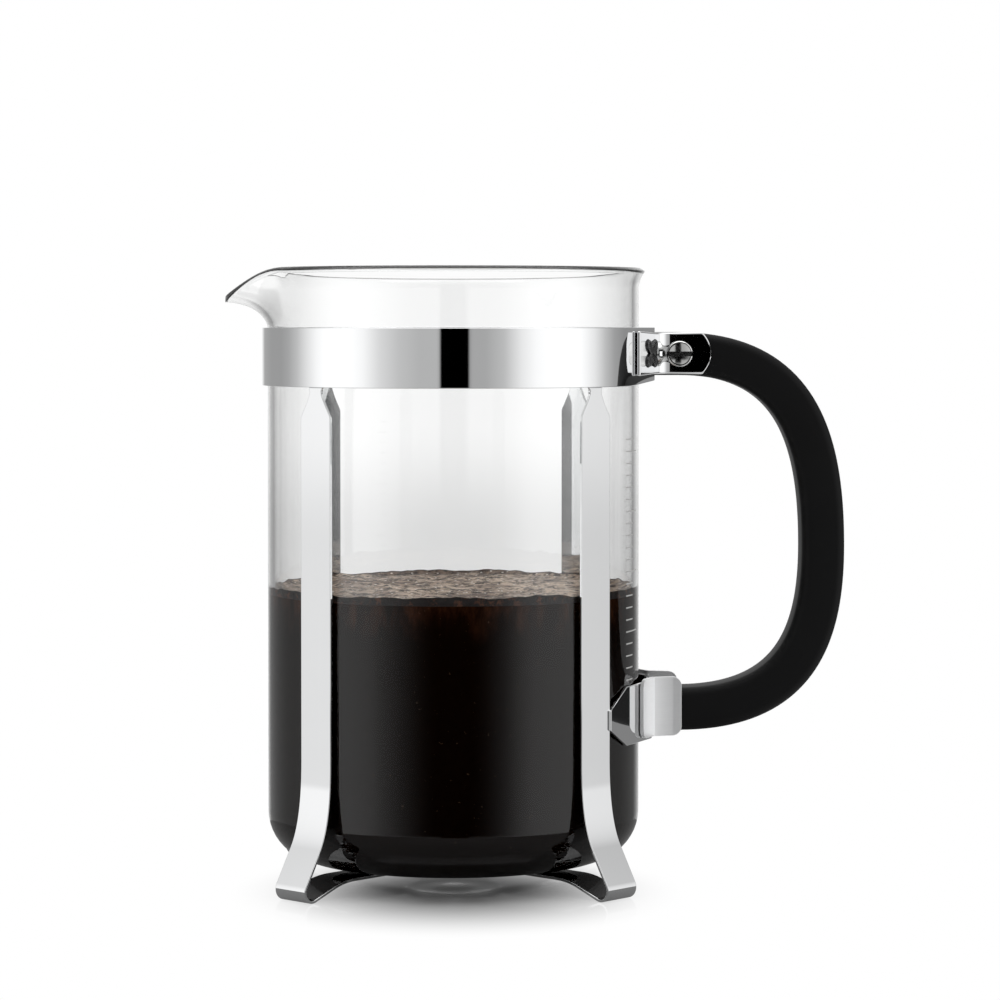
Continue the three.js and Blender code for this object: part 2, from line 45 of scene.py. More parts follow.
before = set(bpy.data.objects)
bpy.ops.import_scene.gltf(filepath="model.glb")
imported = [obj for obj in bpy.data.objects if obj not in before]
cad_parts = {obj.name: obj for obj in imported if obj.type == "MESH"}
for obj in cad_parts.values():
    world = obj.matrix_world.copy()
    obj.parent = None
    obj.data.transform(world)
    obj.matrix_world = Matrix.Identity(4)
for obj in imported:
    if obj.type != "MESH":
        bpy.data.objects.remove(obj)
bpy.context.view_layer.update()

# ---- places and sizes read from the frame, in metres ---------------------------------

MM = 0.001
UP = Vector((0, 0, 1))

PLATE_LOW, PLATE_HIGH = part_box("base_plate")
GLASS_LOW, GLASS_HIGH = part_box("glass_beaker")
BAND_LOW, BAND_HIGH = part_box("frame_band")
LUG_LOW, LUG_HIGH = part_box("upper_lug_front")
CLIP_LOW, CLIP_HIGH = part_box("lower_clip_front")
SADDLE_LOW, SADDLE_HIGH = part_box("handle_saddle")
GRIP_LOW, GRIP_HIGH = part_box("handle_grip")
BOLT_LOW, BOLT_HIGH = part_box("handle_bolt")
NUT_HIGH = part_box("handle_nut")[1]

AXIS = (PLATE_LOW + PLATE_HIGH) / 2 * Vector((1, 1, 0))
WALL_INSIDE = 56 * MM
SHEET = PLATE_HIGH.z - PLATE_LOW.z
BAND_MIDDLE = BAND_HIGH.y - AXIS.y - SHEET / 2
GRIP_WIDTH = GRIP_HIGH.y - GRIP_LOW.y
BOLT_AT = (BOLT_LOW + BOLT_HIGH) / 2 - AXIS
LEG_ANGLES = {"front_left": 225, "front_right": 315, "back_right": 45, "back_left": 135}


def length(name, description, default):
    """A size that a user may change, in metres."""
    about = {"name": name, "description": description, "default": default}
    return FloatProperty(**about, unit="LENGTH", precision=5)


def colour(name, description, default):
    """A colour that a user may change."""
    return FloatVectorProperty(
        name=name, description=description, default=default, subtype="COLOR", size=3, min=0, max=1
    )


def angle(name, description, degrees):
    """An angle that a user may change."""
    about = {"name": name, "description": description, "default": math.radians(degrees)}
    return FloatProperty(**about, subtype="ANGLE")


class PressBeakerSettings(bpy.types.PropertyGroup):
    """Sizes and tint of the glass beaker and what is printed on it"""

    radius: length("Radius", "Outside of the plain wall", 58.0 * MM)
    wall: length("Wall", "Thickness of the glass", 2.0 * MM)
    corner: length("Corner", "Outside radius of the bottom corner", 15.0 * MM)
    rim_drop: length("Rim drop", "How far the outer wall ends below the beaker's top", 1.0 * MM)
    lip_start: length("Lip start", "Height where the pouring lip leaves the wall", 171.2 * MM)
    lip_reach: length("Lip reach", "How far the lip's tip stands out from the wall", 14.3 * MM)
    lip_rise: length("Lip rise", "Height of the lip's tip above its start", 9.6 * MM)
    lip_sag: FloatProperty(
        name="Lip sag", description="Above 1, the rim stays high until close to the tip", default=1.6
    )
    lip_half_angle: angle("Lip half angle", "Half of the lip's share of the rim", 28)
    rim_flare: length("Rim flare", "How far the rim is turned out", 2.0 * MM)
    rim_flare_height: length("Flare height", "Height over which the rim turns out", 5.4 * MM)
    segments: IntProperty(name="Segments", description="Steps round the beaker", default=192, min=32)
    tint: colour("Tint", "Colour that the glass gives to light", (0.988, 0.990, 0.989))
    print_colour: colour("Print", "Colour of the scale on the glass", (0.55, 0.55, 0.54))


class PressBrewSettings(bpy.types.PropertyGroup):
    """Level and colours of the coffee"""

    level: length("Level", "Height of the coffee's surface above the table", 90.9 * MM)
    crust: length("Crust", "Depth of the floating grounds", 1.7 * MM)
    liquid: colour("Liquid", "Colour of the brew", (0.0052, 0.0020, 0.0009))
    foam: colour("Foam", "Colour of the pale froth", (0.60, 0.47, 0.36))
    grounds: colour("Grounds", "Colour of the wet grounds", (0.034, 0.016, 0.009))


class PressFrameSettings(bpy.types.PropertyGroup):
    """Sizes and colour of the chromed steel frame"""

    leg_width: length("Leg width", "Width of each strap leg", 12.8 * MM)
    neck_width: length("Neck width", "Width of a leg where it leaves the band", 5.1 * MM)
    neck_length: length("Neck length", "Height over which a leg draws in", 9.0 * MM)
    lug_sheet: length("Lug sheet", "Thickness of the lugs and clips", 1.2 * MM)
    edge: length("Edge radius", "Rounding of the sheet's edges", 0.25 * MM)
    lug_edge: length("Lug edge radius", "Rounding of the lugs' edges", 0.56 * MM)
    chrome: colour("Chrome", "Colour of the plating", (0.80, 0.805, 0.81))


class PressHandleSettings(bpy.types.PropertyGroup):
    """Sizes and colours of the handle and its bolt"""

    depth: length("Depth", "Thickness of the bar across its curve", 13.4 * MM)
    corner: length("Corner", "Rounding of the bar's long edges", 2.8 * MM)
    plastic: colour("Plastic", "Colour of the moulded handle", (0.0050, 0.0050, 0.0052))
    steel: colour("Steel", "Colour of the bolt and nut", (0.80, 0.80, 0.79))


class PressStageSettings(bpy.types.PropertyGroup):
    """Camera, floor and light"""

    eye_height: length("Eye height", "Height of the camera above the table", 174.6 * MM)
    distance: length("Distance", "From the camera to the beaker's axis", 1.066)
    lens: FloatProperty(name="Lens", description="Focal length in millimetres", default=122.6)
    orbit: angle("Orbit", "Walk round to the handle's side", -1.0)
    pan: angle("Pan", "Turn to the handle's side", 0.784)
    tilt: angle("Tilt", "Turn downwards", 1.53)
    shift: FloatProperty(
        name="Shift", description="Rise of the picture, as a share of its width", default=-0.090
    )
    floor: colour("Floor", "Colour of the table", (0.55, 0.55, 0.55))


# ---- modelling ----------------------------------------------------------------------


def deselect():
    """Leaves edit mode and selects nothing."""
    if bpy.context.object and bpy.context.object.mode != "OBJECT":
        bpy.ops.object.mode_set(mode="OBJECT")
    bpy.ops.object.select_all(action="DESELECT")


def activate(piece):
    """Makes the piece the only selected one, in object mode."""
    deselect()
    piece.select_set(True)
    bpy.context.view_layer.objects.active = piece


def named(name):
    """Names the primitive that was just added."""
    piece = bpy.context.object
    piece.name = name
    piece.data.name = name
    return piece


def place_in_mesh(piece):
    """Puts an object's place, turn and scale into its mesh."""
    activate(piece)
    bpy.ops.object.transform_apply(location=True, rotation=True, scale=True)


def apply_modifier(piece, kind, **settings):
    """Adds a modifier to the piece and applies it."""
    activate(piece)
    modifier = piece.modifiers.new(kind.lower(), kind)
    for key, value in settings.items():
        setattr(modifier, key, value)
    bpy.ops.object.modifier_apply(modifier=modifier.name)


def soften(piece, width, degrees, **settings):
    """Rounds the edges that are sharper than the angle."""
    limit = {"limit_method": "ANGLE", "angle_limit": math.radians(degrees)}
    apply_modifier(piece, "BEVEL", width=width, segments=3, **limit, **settings)


def edit(piece):
    """Opens the piece in edit mode with nothing selected, and gives its editable mesh."""
    activate(piece)
    bpy.ops.object.mode_set(mode="EDIT")
    bpy.ops.mesh.select_all(action="DESELECT")
    return bmesh.from_edit_mesh(piece.data)


def turn_outwards(piece):
    """Points all faces of the piece outwards."""
    edit(piece)
    bpy.ops.mesh.select_all(action="SELECT")
    bpy.ops.mesh.normals_make_consistent(inside=False)
    deselect()


def smooth(piece, degrees=40):
    """Shades the piece smooth, except over edges sharper than the angle."""
    activate(piece)
    bpy.ops.object.shade_smooth_by_angle(angle=math.radians(degrees))


def arc(centre, radius, start, end, steps):
    """Points (across, up) on an arc, both ends included, with the angles in degrees."""
    angles = [math.radians(start + (end - start) * i / steps) for i in range(steps + 1)]
    return [(centre[0] + radius * math.cos(a), centre[1] + radius * math.sin(a)) for a in angles]


def turned(name, profile, segments):
    """A shell turned about the upright axis from (radius, height) points; a zero radius is a pole."""
    starts_on_axis = profile[0][0] == 0
    rings = profile[1:] if starts_on_axis else profile
    deselect()
    first_radius, first_height = rings[0]
    bpy.ops.mesh.primitive_circle_add(
        vertices=segments, radius=first_radius, location=(0, 0, first_height)
    )
    piece = named(name)
    place_in_mesh(piece)
    edit(piece)
    bpy.ops.mesh.select_all(action="SELECT")
    for (radius, height), (next_radius, next_height) in zip(rings, rings[1:]):
        rise = (0, 0, next_height - height)
        bpy.ops.mesh.extrude_region_move(TRANSFORM_OT_translate={"value": rise})
        if next_radius == 0:
            bpy.ops.mesh.merge(type="CENTER")
        else:
            growth = next_radius / radius
            bpy.ops.transform.resize(value=(growth, growth, 1), center_override=(0, 0, next_height))
    if starts_on_axis:
        mesh = edit(piece)
        mesh.verts.ensure_lookup_table()
        for vertex in mesh.verts[:segments]:
            vertex.select = True
        mesh.select_flush(True)
        rise = (0, 0, profile[0][1] - first_height)
        bpy.ops.mesh.extrude_region_move(TRANSFORM_OT_translate={"value": rise})
        bpy.ops.mesh.merge(type="CENTER")
    turn_outwards(piece)
    return piece


def strip(name, line, across, widths):
    """The middle surface of a bent sheet: an edge pulled along a line, changing in width."""
    deselect()
    bpy.ops.mesh.primitive_plane_add(size=1)
    piece = named(name)
    mesh = edit(piece)
    mesh.verts.ensure_lookup_table()
    first, second, *spare = mesh.verts
    first.co = line[0] - across * widths[0] / 2
    second.co = line[0] + across * widths[0] / 2
    for vertex in spare:
        vertex.select = True
    mesh.select_flush(True)
    bpy.ops.mesh.delete(type="VERT")
    bpy.ops.mesh.select_all(action="SELECT")
    for i in range(1, len(line)):
        bpy.ops.mesh.extrude_region_move(TRANSFORM_OT_translate={"value": line[i] - line[i - 1]})
        growth = widths[i] / widths[i - 1]
        if abs(growth - 1) > 1e-6:
            bpy.ops.transform.resize(value=(growth,) * 3, center_override=line[i])
    deselect()
    return piece


def sheet_metal(piece, thickness, edge, clamp=True):
    """Gives a middle surface its thickness and soft edges."""
    apply_modifier(piece, "SOLIDIFY", thickness=thickness, offset=0, use_even_offset=True)
    turn_outwards(piece)
    for polygon in piece.data.polygons:
        polygon.use_smooth = True
    soften(piece, edge, 40, harden_normals=True, use_clamp_overlap=clamp)


def eased(corners, radius, steps=6):
    """The line through the corners, with each inner corner rounded."""
    line = [corners[0]]
    for before, corner, after in zip(corners, corners[1:], corners[2:]):
        to_before, to_after = (before - corner).normalized(), (after - corner).normalized()
        half = to_before.angle(to_after) / 2
        cut = radius / math.tan(half)
        centre = corner + (to_before + to_after).normalized() * radius / math.sin(half)
        start = (corner + to_before * cut - centre).normalized()
        end = (corner + to_after * cut - centre).normalized()
        line += [centre + start.slerp(end, i / steps) * radius for i in range(steps + 1)]
    return line + [corners[-1]]


def finished(piece, look, body, slot, *nodes, turn=0.0):
    """Turns the piece about the beaker's axis, puts it in its place, and joins it to its body."""
    piece.data.transform(Matrix.Translation(AXIS) @ Matrix.Rotation(turn, 4, "Z"))
    piece.data.materials.clear()
    piece.data.materials.append(look)
    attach(piece, body)
    if nodes:
        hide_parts(*nodes)
    return piece


def copy_of(piece, name):
    """A second piece with a mesh of its own."""
    twin = piece.copy()
    twin.data = piece.data.copy()
    twin.name = twin.data.name = name
    bpy.context.scene.collection.objects.link(twin)
    return twin


def mirrored(piece, name):
    """The piece's counterpart behind the middle plane."""
    twin = copy_of(piece, name)
    twin.data.transform(Matrix.Diagonal((1, -1, 1, 1)))
    twin.data.flip_normals()
    return twin


# ---- finishes -----------------------------------------------------------------------


class Link:
    """An output of a node. Arithmetic on it adds Math nodes to its tree."""

    def __init__(self, tree, socket):
        self.tree = tree
        self.socket = socket

    def math(self, operation, *others):
        values = dict(enumerate((self, *others)))
        return self.tree.add("ShaderNodeMath", {"operation": operation}, values)

    def __add__(self, other):
        return self.math("ADD", other)

    def __sub__(self, other):
        return self.math("SUBTRACT", other)

    def __rsub__(self, other):
        return self * -1 + other

    def __mul__(self, other):
        return self.math("MULTIPLY", other)

    def __truediv__(self, other):
        return self.math("DIVIDE", other)

    __radd__ = __add__
    __rmul__ = __mul__

    def above(self, low, high):
        """0 below the low value, 1 above the high one, and smooth between them."""
        settings = {"interpolation_type": "SMOOTHSTEP", "clamp": True}
        return self.tree.add("ShaderNodeMapRange", settings, {"Value": self, 1: low, 2: high})


class Tree:
    """Builds the nodes of one material or world."""

    def __init__(self, owner):
        owner.use_nodes = True
        self.nodes = owner.node_tree.nodes
        self.links = owner.node_tree.links
        self.nodes.clear()

    def add(self, kind, settings=None, values=None, output=0):
        """Adds a node: its settings first, then the values or links of its sockets."""
        node = self.nodes.new(kind)
        for key, value in (settings or {}).items():
            if key == "stops":
                self.set_stops(node.color_ramp.elements, value)
            else:
                setattr(node, key, value)
        for key, value in (values or {}).items():
            if isinstance(value, Link):
                self.links.new(value.socket, node.inputs[key])
            else:
                node.inputs[key].default_value = value
        return Link(self, node.outputs[output] if len(node.outputs) else None)

    @staticmethod
    def set_stops(elements, stops):
        while len(elements) < len(stops):
            elements.new(0.5)
        for element, (position, shade) in zip(elements, stops):
            element.position = position
            element.color = (*shade, 1) if hasattr(shade, "__len__") else (shade, shade, shade, 1)

    def place(self, scale=(1, 1, 1)):
        """Object coordinates, stretched about the beaker's axis."""
        where = self.add("ShaderNodeTexCoord", output="Object")
        return self.add("ShaderNodeMapping", {"vector_type": "POINT"}, {"Vector": where, "Scale": scale})

    def noise(self, vector, scale, detail=2.0, roughness=0.5):
        values = {"Vector": vector, "Scale": scale, "Detail": detail, "Roughness": roughness}
        return self.add("ShaderNodeTexNoise", None, values)

    def mix(self, factor, first, second):
        """One colour turning to another."""
        values = {0: factor, 6: rgba(first), 7: rgba(second)}
        return self.add("ShaderNodeMix", {"data_type": "RGBA"}, values, output=2)

    def bump(self, height, distance, strength=1.0):
        values = {"Height": height, "Distance": distance, "Strength": strength}
        return self.add("ShaderNodeBump", None, values)


def reach_from_axis(tree, stretch=1.0, forward=0.0):
    """How far a point is from the beaker's axis, or from a point in front of it."""
    where = tree.add("ShaderNodeTexCoord", output="Object")
    x, y = (tree.add("ShaderNodeSeparateXYZ", None, {0: where}, output=i) for i in range(2))
    across, along = (x - AXIS.x) * stretch, y - AXIS.y + forward
    return (across * across + along * along).math("SQRT")


def rgba(shade):
    """A link as it is, or a colour with its fourth number."""
    return shade if isinstance(shade, Link) else (*shade, 1)


def finish(name):
    """Turns a builder of nodes into a function that gives its material, made only once."""

    def wrap(build):
        def give():
            if name not in bpy.data.materials:
                build(Tree(bpy.data.materials.new(name)))
            return bpy.data.materials[name]

        return give

    return wrap


def surface(tree, values):
    """Ends a material in one Principled shader."""
    shader = tree.add("ShaderNodeBsdfPrincipled", None, values)
    tree.add("ShaderNodeOutputMaterial", None, {"Surface": shader})


@finish("chrome plating")
def chrome_finish(tree):
    """Bright plating: nearly a mirror, with faint polishing haze and the sheet's slight waves."""
    chrome = bpy.context.scene.press_frame.chrome
    haze = tree.noise(tree.place(), 90, 4)
    waves = tree.noise(tree.place(), 22, 1)
    hairlines = tree.noise(tree.place((1, 1, 14)), 420, 2)
    shade = tree.mix(haze, [c * 0.985 for c in chrome], [min(1, c * 1.01) for c in chrome])
    values = {
        "Base Color": shade,
        "Metallic": 1.0,
        "Roughness": 0.018 + haze * 0.02 + hairlines * 0.008,
        "Normal": tree.bump(waves, 0.02 * MM, 0.5),
    }
    surface(tree, values)


@finish("satin plating")
def satin_finish(tree):
    """The clips: the same plating over brushed steel, so it mirrors only softly."""
    chrome = bpy.context.scene.press_frame.chrome
    brushing = tree.noise(tree.place((1, 1, 12)), 260, 3)
    shade = tree.mix(brushing, [min(1, c * 1.12) for c in chrome], [min(1, c * 1.2) for c in chrome])
    values = {
        "Base Color": shade,
        "Metallic": 0.55,
        "Roughness": 0.28 + brushing * 0.08,
        "Normal": tree.bump(brushing, 0.01 * MM, 0.3),
    }
    surface(tree, values)


@finish("stake steel painted dark")
def stake_finish(tree):
    """The pressed stakes: steel painted nearly black all over, a painted dark reflection in place of the
    shade in the pressed stars, with a random mottle.
    """
    painted_shade_mottle = tree.noise(tree.place(), 800, 3)
    values = {
        # Both colours are painted dark reflection; the mottle only mixes them at random.
        "Base Color": tree.mix(painted_shade_mottle, (0.025, 0.025, 0.026), (0.07, 0.07, 0.07)),
        "Metallic": 1.0,
        "Roughness": 0.2 + painted_shade_mottle * 0.15,
    }
    surface(tree, values)


@finish("turned steel")
def steel_finish(tree):
    """The bolt and nut: turned steel, a little duller than the plating."""
    steel = bpy.context.scene.press_handle.steel
    grain = tree.noise(tree.place((1, 6, 1)), 900, 3)
    shade = tree.mix(grain, [c * 0.9 for c in steel], steel)
    values = {
        "Base Color": shade,
        "Metallic": 1.0,
        "Roughness": 0.07 + grain * 0.1,
        "Normal": tree.bump(grain, 0.01 * MM, 0.4),
    }
    surface(tree, values)


@finish("clear glass")
def glass_finish(tree):
    """Clear blown glass with the faintest waves in its surface."""
    waves = tree.noise(tree.place((1, 1, 0.25)), 26, 1)
    smears = tree.noise(tree.place((1, 1, 0.6)), 60, 3)
    tint = bpy.context.scene.press_beaker.tint
    values = {
        "Base Color": tree.mix(waves, tint, [min(1, c * 1.01) for c in tint]),
        "Roughness": 0.006 * smears.above(0.55, 0.8),
        "IOR": 1.47,
        "Transmission Weight": 1.0,
        "Normal": tree.bump(waves, 0.03 * MM, 0.25),
    }
    surface(tree, values)


@finish("scale enamel")
def print_finish(tree):
    """The scale's enamel, thin enough to look a little uneven."""
    shade = bpy.context.scene.press_beaker.print_colour
    wear = tree.noise(tree.place(), 700, 3)
    values = {
        "Base Color": tree.mix(wear, [c * 0.86 for c in shade], shade),
        "Roughness": 0.45 + wear * 0.15,
    }
    surface(tree, values)


@finish("coffee brew")
def brew_finish(tree):
    """Dark coffee, redder and cloudy just under the grounds."""
    brew = bpy.context.scene.press_brew
    where = tree.add("ShaderNodeTexCoord", output="Object")
    height = tree.add("ShaderNodeSeparateXYZ", None, {0: where}, output=2)
    clouds = tree.noise(tree.place((1, 1, 0.35)), 160, 5, 0.65)
    motes = tree.noise(tree.place(), 900, 2).above(0.70, 0.76)
    under = (height + clouds * 9 * MM).above(brew.level - 9 * MM, brew.level + 4 * MM)
    red = tree.mix(clouds.above(0.4, 0.7), (0.010, 0.003, 0.001), (0.060, 0.020, 0.008))
    shade = tree.mix(under, brew.liquid, red)
    shade = tree.mix(motes * 0.25, shade, (0.16, 0.11, 0.07))
    surface(tree, {"Base Color": shade, "Roughness": 0.6 + clouds * 0.2, "Specular IOR Level": 0.0})


@finish("coffee crust")
def crust_finish(tree):
    """Floating grounds and froth: pale foam, dark specks and small bright bubbles."""
    brew = bpy.context.scene.press_brew
    place = tree.place()
    patches = tree.noise(place, 38, 4, 0.6)
    grains = tree.noise(place, 300, 5, 0.75)
    specks = tree.add("ShaderNodeTexVoronoi", None, {"Vector": place, "Scale": 330.0})
    bubbles = tree.add("ShaderNodeTexVoronoi", None, {"Vector": place, "Scale": 420.0})
    foam = tree.mix(patches.above(0.38, 0.62), (0.20, 0.13, 0.085), brew.foam)
    shade = tree.mix(grains.above(0.43, 0.60), foam, brew.grounds)
    shade = tree.mix(1 - specks.above(0.10, 0.34), shade, [c * 0.6 for c in brew.grounds])
    shade = tree.mix(1 - bubbles.above(0.10, 0.22), shade, (0.88, 0.82, 0.74))
    wet = reach_from_axis(tree).above(0.99 * WALL_INSIDE, 0.997 * WALL_INSIDE)
    fringe = tree.mix(grains.above(0.50, 0.62), (0.006, 0.002, 0.001), (0.09, 0.032, 0.013))
    shade = tree.mix(wet, shade, fringe)
    values = {
        "Base Color": shade,
        "Roughness": 0.42 + grains * 0.3,
        "Normal": tree.bump(grains + specks * 0.5, 0.8 * MM, 1.0),
    }
    surface(tree, values)


@finish("black plastic")
def plastic_finish(tree):
    """Black moulded plastic with a fine satin texture."""
    plastic = bpy.context.scene.press_handle.plastic
    stipple = tree.noise(tree.place(), 1500, 2, 0.6)
    mottle = tree.noise(tree.place(), 45, 3)
    values = {
        "Base Color": tree.mix(mottle, [c * 0.85 for c in plastic], [c * 1.15 for c in plastic]),
        "Roughness": 0.46 + mottle * 0.08,
        "Specular IOR Level": 0.12,
        "Normal": tree.bump(stipple, 0.03 * MM, 0.5),
    }
    surface(tree, values)


@finish("white table")
def floor_finish(tree):
    """A white table that is shaded and glossy round the press and fades into the glowing white backdrop.
    Reflections see it as a painted dark floor, and a faint painted glow lifts the shade under the press.
    """
    shade = bpy.context.scene.press_stage.floor
    grain = tree.noise(tree.place(), 300, 2)
    fade = reach_from_axis(tree, 1.15, 30 * MM).above(18 * MM, 82 * MM)
    tone = tree.mix(grain, [c * 0.99 for c in shade], shade)
    white = tree.add("ShaderNodeBsdfDiffuse", None, {"Color": tone})
    gloss = tree.add("ShaderNodeBsdfGlossy", None, {"Color": (0.96, 0.96, 0.96, 1), "Roughness": 0.08})
    near = tree.add("ShaderNodeMixShader", None, {0: 0.42, 1: white, 2: gloss})
    mirrored_ray = tree.add("ShaderNodeLightPath", output="Is Glossy Ray")
    # In mirrored rays the table turns mostly into this painted dark floor, a painted reflection of
    # shade.
    painted_dark_reflection = tree.add("ShaderNodeBsdfDiffuse", None, {"Color": (0.03, 0.03, 0.03, 1)})
    glow = tree.add("ShaderNodeEmission", None, {"Color": (1, 1, 1, 1), "Strength": 1.0})
    # Round the press the table keeps a faint painted glow, 3 % white, that lifts its shade; farther out
    # it glows evenly white.
    lifted = tree.add("ShaderNodeMixShader", None, {0: 0.03 + fade * 0.97, 1: near, 2: glow})
    seen = tree.add("ShaderNodeMixShader", None, {0: mirrored_ray * 0.8, 1: lifted, 2: painted_dark_reflection})
    tree.add("ShaderNodeOutputMaterial", None, {"Surface": seen})


# ---- the beaker and the coffee --------------------------------------------------------


def on_lip(radius, height, from_lip, beaker):
    """Where a point of the plain outside goes when the rim and the pouring lip are drawn out."""
    top = GLASS_HIGH.z - beaker.rim_drop
    share = max(0.0, 1 - (top - height) / beaker.rim_flare_height)
    flare = beaker.rim_flare * share**2
    if height <= beaker.lip_start or abs(from_lip) >= beaker.lip_half_angle:
        return radius + flare, height
    weight = math.cos(from_lip / beaker.lip_half_angle * math.pi / 2) ** 2
    wall = top - beaker.lip_start
    turn = (height - beaker.lip_start) / wall * math.pi / 2
    turn_rate = math.pi / 2 / wall
    half = beaker.wall / 2
    lean = beaker.lip_reach * (1 - math.cos(turn)) * weight + flare * (1 - weight)
    drop = (beaker.lip_start + beaker.lip_rise * math.sin(turn) - height) * weight**beaker.lip_sag
    along_radius = beaker.lip_reach * math.sin(turn) * turn_rate * weight
    along_height = 1 + (beaker.lip_rise * math.cos(turn) * turn_rate - 1) * weight
    size = math.hypot(along_radius, along_height)
    middle = radius - half
    return middle + lean + half * along_height / size, height + drop - half * along_radius / size


class PRESS_OT_add_beaker(bpy.types.Operator):
    """Add the glass beaker with its turned-out rim and pouring lip"""

    bl_idname = "press.add_beaker"
    bl_label = "Glass beaker"

    def execute(self, context):
        beaker = context.scene.press_beaker
        radius, corner, bottom = beaker.radius, beaker.corner, GLASS_LOW.z
        plain = beaker.lip_start - bottom - corner
        wall_heights = [bottom + corner + plain * i / 6 for i in range(1, 7)]
        lip_height = GLASS_HIGH.z - beaker.rim_drop - beaker.lip_start
        lip_heights = [beaker.lip_start + lip_height * i / 18 for i in range(1, 19)]
        profile = [(0, bottom + 0.5 * MM), (14 * MM, bottom + 0.35 * MM), (30 * MM, bottom + 0.1 * MM)]
        profile += arc((radius - corner, bottom + corner), corner, -90, 0, 12)
        profile += [(radius, height) for height in wall_heights + lip_heights]
        piece = turned("beaker_glass", profile, beaker.segments)
        for vertex in piece.data.vertices:
            x, y, z = vertex.co
            if z > beaker.lip_start:
                from_lip = math.atan2(y, -x)
                reach, height = on_lip(math.hypot(x, y), z, from_lip, beaker)
                vertex.co = (-reach * math.cos(from_lip), reach * math.sin(from_lip), height)
        apply_modifier(piece, "SOLIDIFY", thickness=beaker.wall, offset=-1, use_even_offset=True)
        soften(piece, 0.3 * MM, 55)
        smooth(piece, 60)
        finished(piece, glass_finish(), "beaker", "glass", "glass_beaker")
        return {"FINISHED"}


class PRESS_OT_add_brew(bpy.types.Operator):
    """Add the coffee and the crust of grounds and froth that floats on it"""

    bl_idname = "press.add_brew"
    bl_label = "Coffee"

    def execute(self, context):
        beaker, brew = context.scene.press_beaker, context.scene.press_brew
        wet = 0.12 * MM
        radius = beaker.radius - beaker.wall + wet
        corner = beaker.corner - beaker.wall + wet
        bottom = GLASS_LOW.z + beaker.wall - wet
        under = brew.level - brew.crust
        profile = [(0, bottom + 0.4 * MM), (30 * MM, bottom + 0.1 * MM)]
        profile += arc((radius - corner, bottom + corner), corner, -90, 0, 10)
        profile += [(radius, under * 0.6), (radius, under), (radius * 0.5, under), (0, under)]
        liquid = turned("coffee_brew", profile, beaker.segments)
        smooth(liquid)
        finished(liquid, brew_finish(), "beaker", "glass")
        self.add_crust(radius, under, beaker, brew)
        return {"FINISHED"}

    def add_crust(self, radius, under, beaker, brew):
        """A shallow disc with a lumpy top that climbs a little where it meets the glass."""
        low = under + 0.02 * MM
        rings, wall_zone, climb = 44, 0.93, 0.9 * MM
        profile = [(0, low), (radius * 0.5, low), (radius, low), (radius, (low + brew.level) / 2)]
        profile += [(radius * (rings - i) / rings, brew.level) for i in range(rings)]
        profile.append((0, brew.level))
        crust = turned("coffee_crust", profile, beaker.segments)
        for vertex in crust.data.vertices:
            if vertex.co.z > brew.level - 0.1 * MM:
                swell = noise.noise(vertex.co * 70) * 0.6 * MM + noise.noise(vertex.co * 260) * 0.6 * MM
                to_wall = math.hypot(vertex.co.x, vertex.co.y) / radius
                vertex.co.z += swell + climb * max(0.0, (to_wall - wall_zone) / (1 - wall_zone)) ** 2
        smooth(crust, 60)
        finished(crust, crust_finish(), "beaker", "glass")


class PRESS_OT_add_scale(bpy.types.Operator):
    """Add the printed scale: plain ticks round the glass beside the handle"""

    bl_idname = "press.add_scale"
    bl_label = "Printed scale"

    def execute(self, context):
        beaker = context.scene.press_beaker
        spacing, thickness, count = 3.7 * MM, 0.4 * MM, 22
        ticks = []
        for i in range(count):
            size = 11 if i % 5 == 0 else 6
            ticks.append(self.tick(beaker.radius + 0.03 * MM, 60 * MM + i * spacing, size, thickness))
        deselect()
        for tick in ticks:
            tick.select_set(True)
        context.view_layer.objects.active = ticks[0]
        bpy.ops.object.join()
        piece = named("printed_scale")
        apply_modifier(piece, "SOLIDIFY", thickness=0.05 * MM, offset=0)
        smooth(piece)
        finished(piece, print_finish(), "beaker", "glass")
        return {"FINISHED"}

    def tick(self, radius, height, size, thickness):
        """One tick, bent round the glass; its size is in degrees."""
        angles = [math.radians(-25 + size * i / 4) for i in range(5)]
        line = [Vector((radius * math.cos(a), radius * math.sin(a), height)) for a in angles]
        return strip("tick", line, UP, [thickness] * len(line))


# ---- the frame ----------------------------------------------------------------------

BEND_ANGLE = math.radians(27)  # where the band's ring turns straight towards the handle
BAND_END = 20.3 * MM
STAKE_FROM_BEND = 7.3 * MM
LUG_FLANGE = 16.3 * MM
LUG_END_RADIUS = 9 * MM
CLIP_FLANGE = 9.4 * MM
SHEET_GAP = 0.3 * MM
EAR_FACE = 8.0 * MM
SADDLE_BEND = (61.2 * MM, -8.3 * MM)  # where the saddle's front half meets the handle


def on_band_end(from_bend, outside, height):
    """A point on the band's front straight end, so far from the ring and outside its middle."""
    reach = BAND_MIDDLE + outside
    x = reach * math.cos(BEND_ANGLE) + from_bend * math.sin(BEND_ANGLE)
    y = -reach * math.sin(BEND_ANGLE) + from_bend * math.cos(BEND_ANGLE)
    return Vector((x, y, height))


def ear_middle(frame_sizes):
    """Distance of an ear's middle from the plane that halves the press."""
    return EAR_FACE + frame_sizes.lug_sheet / 2


def lug_bend(frame_sizes):
    """How far along the straight end the lug turns into its ear."""
    outside = SHEET / 2 + SHEET_GAP + frame_sizes.lug_sheet / 2
    start = on_band_end(0, outside, 0)
    return (-ear_middle(frame_sizes) - start.y) / math.cos(BEND_ANGLE), outside


